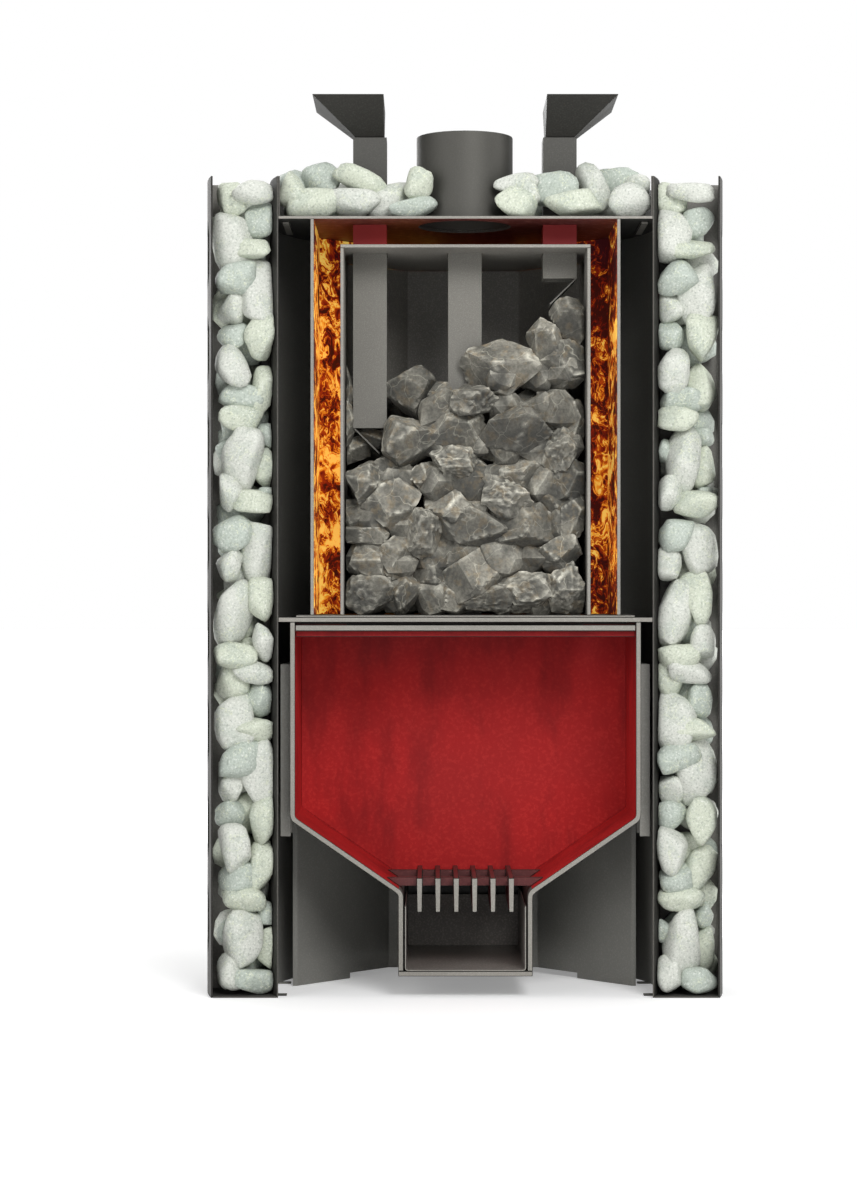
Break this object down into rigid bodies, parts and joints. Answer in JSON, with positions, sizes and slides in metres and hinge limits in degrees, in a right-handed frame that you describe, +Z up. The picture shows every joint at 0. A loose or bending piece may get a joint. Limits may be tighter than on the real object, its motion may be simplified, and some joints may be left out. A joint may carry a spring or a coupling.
{
  "type": "sauna heater stove",
  "caption": "Round wood-burning sauna heater shown in section: stone jacket with windows, closed stone chamber, water funnels, hopper firebox, grate and ash pan.",
  "frame": {"origin": "middle of the bounding box, on the floor", "axes": "+Z up, +X to the right across the section, +Y away from the viewer, towards the heater's back"},
  "size_m": [0.614, 0.381, 1.06],
  "materials": {
    "black_steel": "fine matt heat-proof paint, bright on the section",
    "fire_plate": "heavy plate, dark red inside the firebox",
    "tube_steel": "grainy bare steel",
    "grate_iron": "rough casting",
    "pale_pebble": "tumbled grey-green stone",
    "grey_rock": "broken grey rock"
  },
  "bodies": {
    "heater": {"front_screen_left": "black_steel", "front_screen_right": "black_steel", "rear_screen": "black_steel", "front_casing_left": "black_steel", "front_casing_right": "black_steel", "rear_casing": "black_steel", "front_jacket_floor_left": "black_steel", "front_jacket_floor_right": "black_steel", "rear_jacket_floor": "black_steel", "jacket_end_plate_left": "black_steel", "jacket_end_plate_right": "black_steel", "tray_floor": "black_steel", "tray_wall": "black_steel", "tray_rail_left": "black_steel", "tray_rail_right": "black_steel", "flue_collar": "black_steel", "body_shell": "black_steel", "chamber_shell": "black_steel", "chamber_lid": "black_steel", "chamber_base_front": "black_steel", "chamber_base_rear_left": "black_steel", "chamber_base_rear_right": "black_steel", "firebox_roof_front": "black_steel", "firebox_roof_rear_left": "black_steel", "firebox_roof_rear_right": "black_steel", "ash_floor": "black_steel", "ash_duct": "black_steel", "leg_left": "black_steel", "leg_right": "black_steel", "convection_fin_left_1": "black_steel", "convection_fin_left_2": "black_steel", "convection_fin_left_3": "black_steel", "convection_fin_right_1": "black_steel", "convection_fin_right_2": "black_steel", "convection_fin_right_3": "black_steel", "firebox_side_left": "fire_plate", "firebox_side_right": "fire_plate", "firebox_back": "fire_plate", "baffle": "fire_plate", "baffle_ledge_left": "fire_plate", "baffle_ledge_right": "fire_plate", "fire_tube": "tube_steel", "water_tube_left": "tube_steel", "water_tube_right": "tube_steel", "jacket_pebbles_left": "pale_pebble", "jacket_pebbles_right": "pale_pebble", "tray_pebbles_left": "pale_pebble", "tray_pebbles_right": "pale_pebble", "rear_jacket_pebbles_left": "pale_pebble", "rear_jacket_pebbles_middle": "pale_pebble", "rear_jacket_pebbles_right": "pale_pebble", "heater_rocks_front": "grey_rock", "heater_rocks_left": "grey_rock", "heater_rocks_right": "grey_rock", "heater_rocks_rear": "grey_rock"},
    "ash_pan": {"ash_pan": "black_steel"},
    "grate": {"grate": "grate_iron"},
    "funnel_left": {"funnel_left": "black_steel"},
    "funnel_right": {"funnel_right": "black_steel"}
  },
  "joints": [
    {"name": "ash_pan_slide", "type": "slide", "parent": "heater", "child": "ash_pan", "axis": [0, -1, 0], "range_m": [0, 0.2]},
    {"name": "grate_lift", "type": "slide", "parent": "heater", "child": "grate", "axis": [0, 0, 1], "range_m": [0, 0.12]},
    {"name": "funnel_left_lift", "type": "slide", "parent": "heater", "child": "funnel_left", "axis": [0, 0, 1], "range_m": [0, 0.08]},
    {"name": "funnel_right_lift", "type": "slide", "parent": "heater", "child": "funnel_right", "axis": [0, 0, 1], "range_m": [0, 0.08]}
  ]
}
